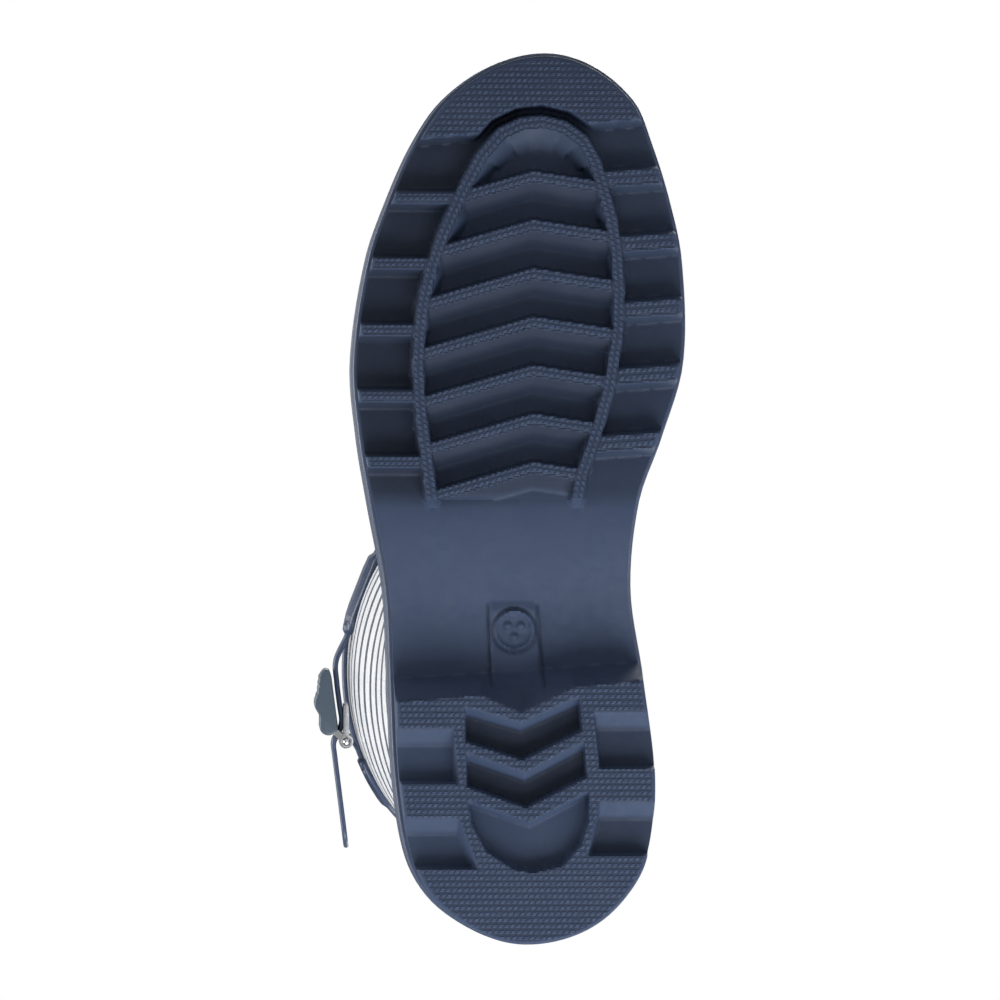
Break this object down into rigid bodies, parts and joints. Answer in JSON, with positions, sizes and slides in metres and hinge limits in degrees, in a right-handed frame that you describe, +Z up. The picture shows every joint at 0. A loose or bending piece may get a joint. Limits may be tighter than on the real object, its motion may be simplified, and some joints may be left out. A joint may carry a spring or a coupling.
{
  "type": "deck boot",
  "caption": "Mid-calf rubber deck boot for the right foot, with a lugged sole, a bound rim and a side strap with a cam-lever buckle.",
  "frame": {"origin": "on the ground at the middle of the rear heel pad", "axes": "+Z up, toe towards -Y, +X towards the inner (medial) side of the foot, so the strap is on -X"},
  "size_m": [0.1188, 0.2913, 0.3],
  "materials": {
    "sole_rubber": "matt navy moulded rubber",
    "shaft_rubber": "semi-gloss white rubber with thin navy rings",
    "trim_rubber": "semi-gloss navy rubber",
    "lining_fabric": "knitted cotton lining",
    "inner_board": "pressed fibre board and felt",
    "foam": "foam under cloth",
    "steel": "bright bent steel",
    "slate_plastic": "slate blue moulded plastic"
  },
  "bodies": {
    "boot": {"outsole": "sole_rubber", "heel_filler": "foam", "forefoot_filler": "foam", "shank": "steel", "insole_board": "inner_board", "footbed": "foam", "upper_shell": "shaft_rubber", "toe_stiffener": "inner_board", "heel_stiffener": "inner_board", "lining": "lining_fabric", "foxing": "sole_rubber", "top_binding": "trim_rubber", "front_anchor": "trim_rubber", "rear_anchor": "trim_rubber", "strap": "trim_rubber", "buckle_tab": "trim_rubber", "hinge_bar": "steel", "link_frame": "steel", "lever_pin": "steel"},
    "lever": {"lever_cover": "slate_plastic"}
  },
  "joints": [
    {"name": "lever_hinge", "type": "hinge", "parent": "boot", "child": "lever", "pos_m": [-0.05929, -0.04881, 0.262], "axis": [0, 0, -1], "range_deg": [0, 75]}
  ]
}
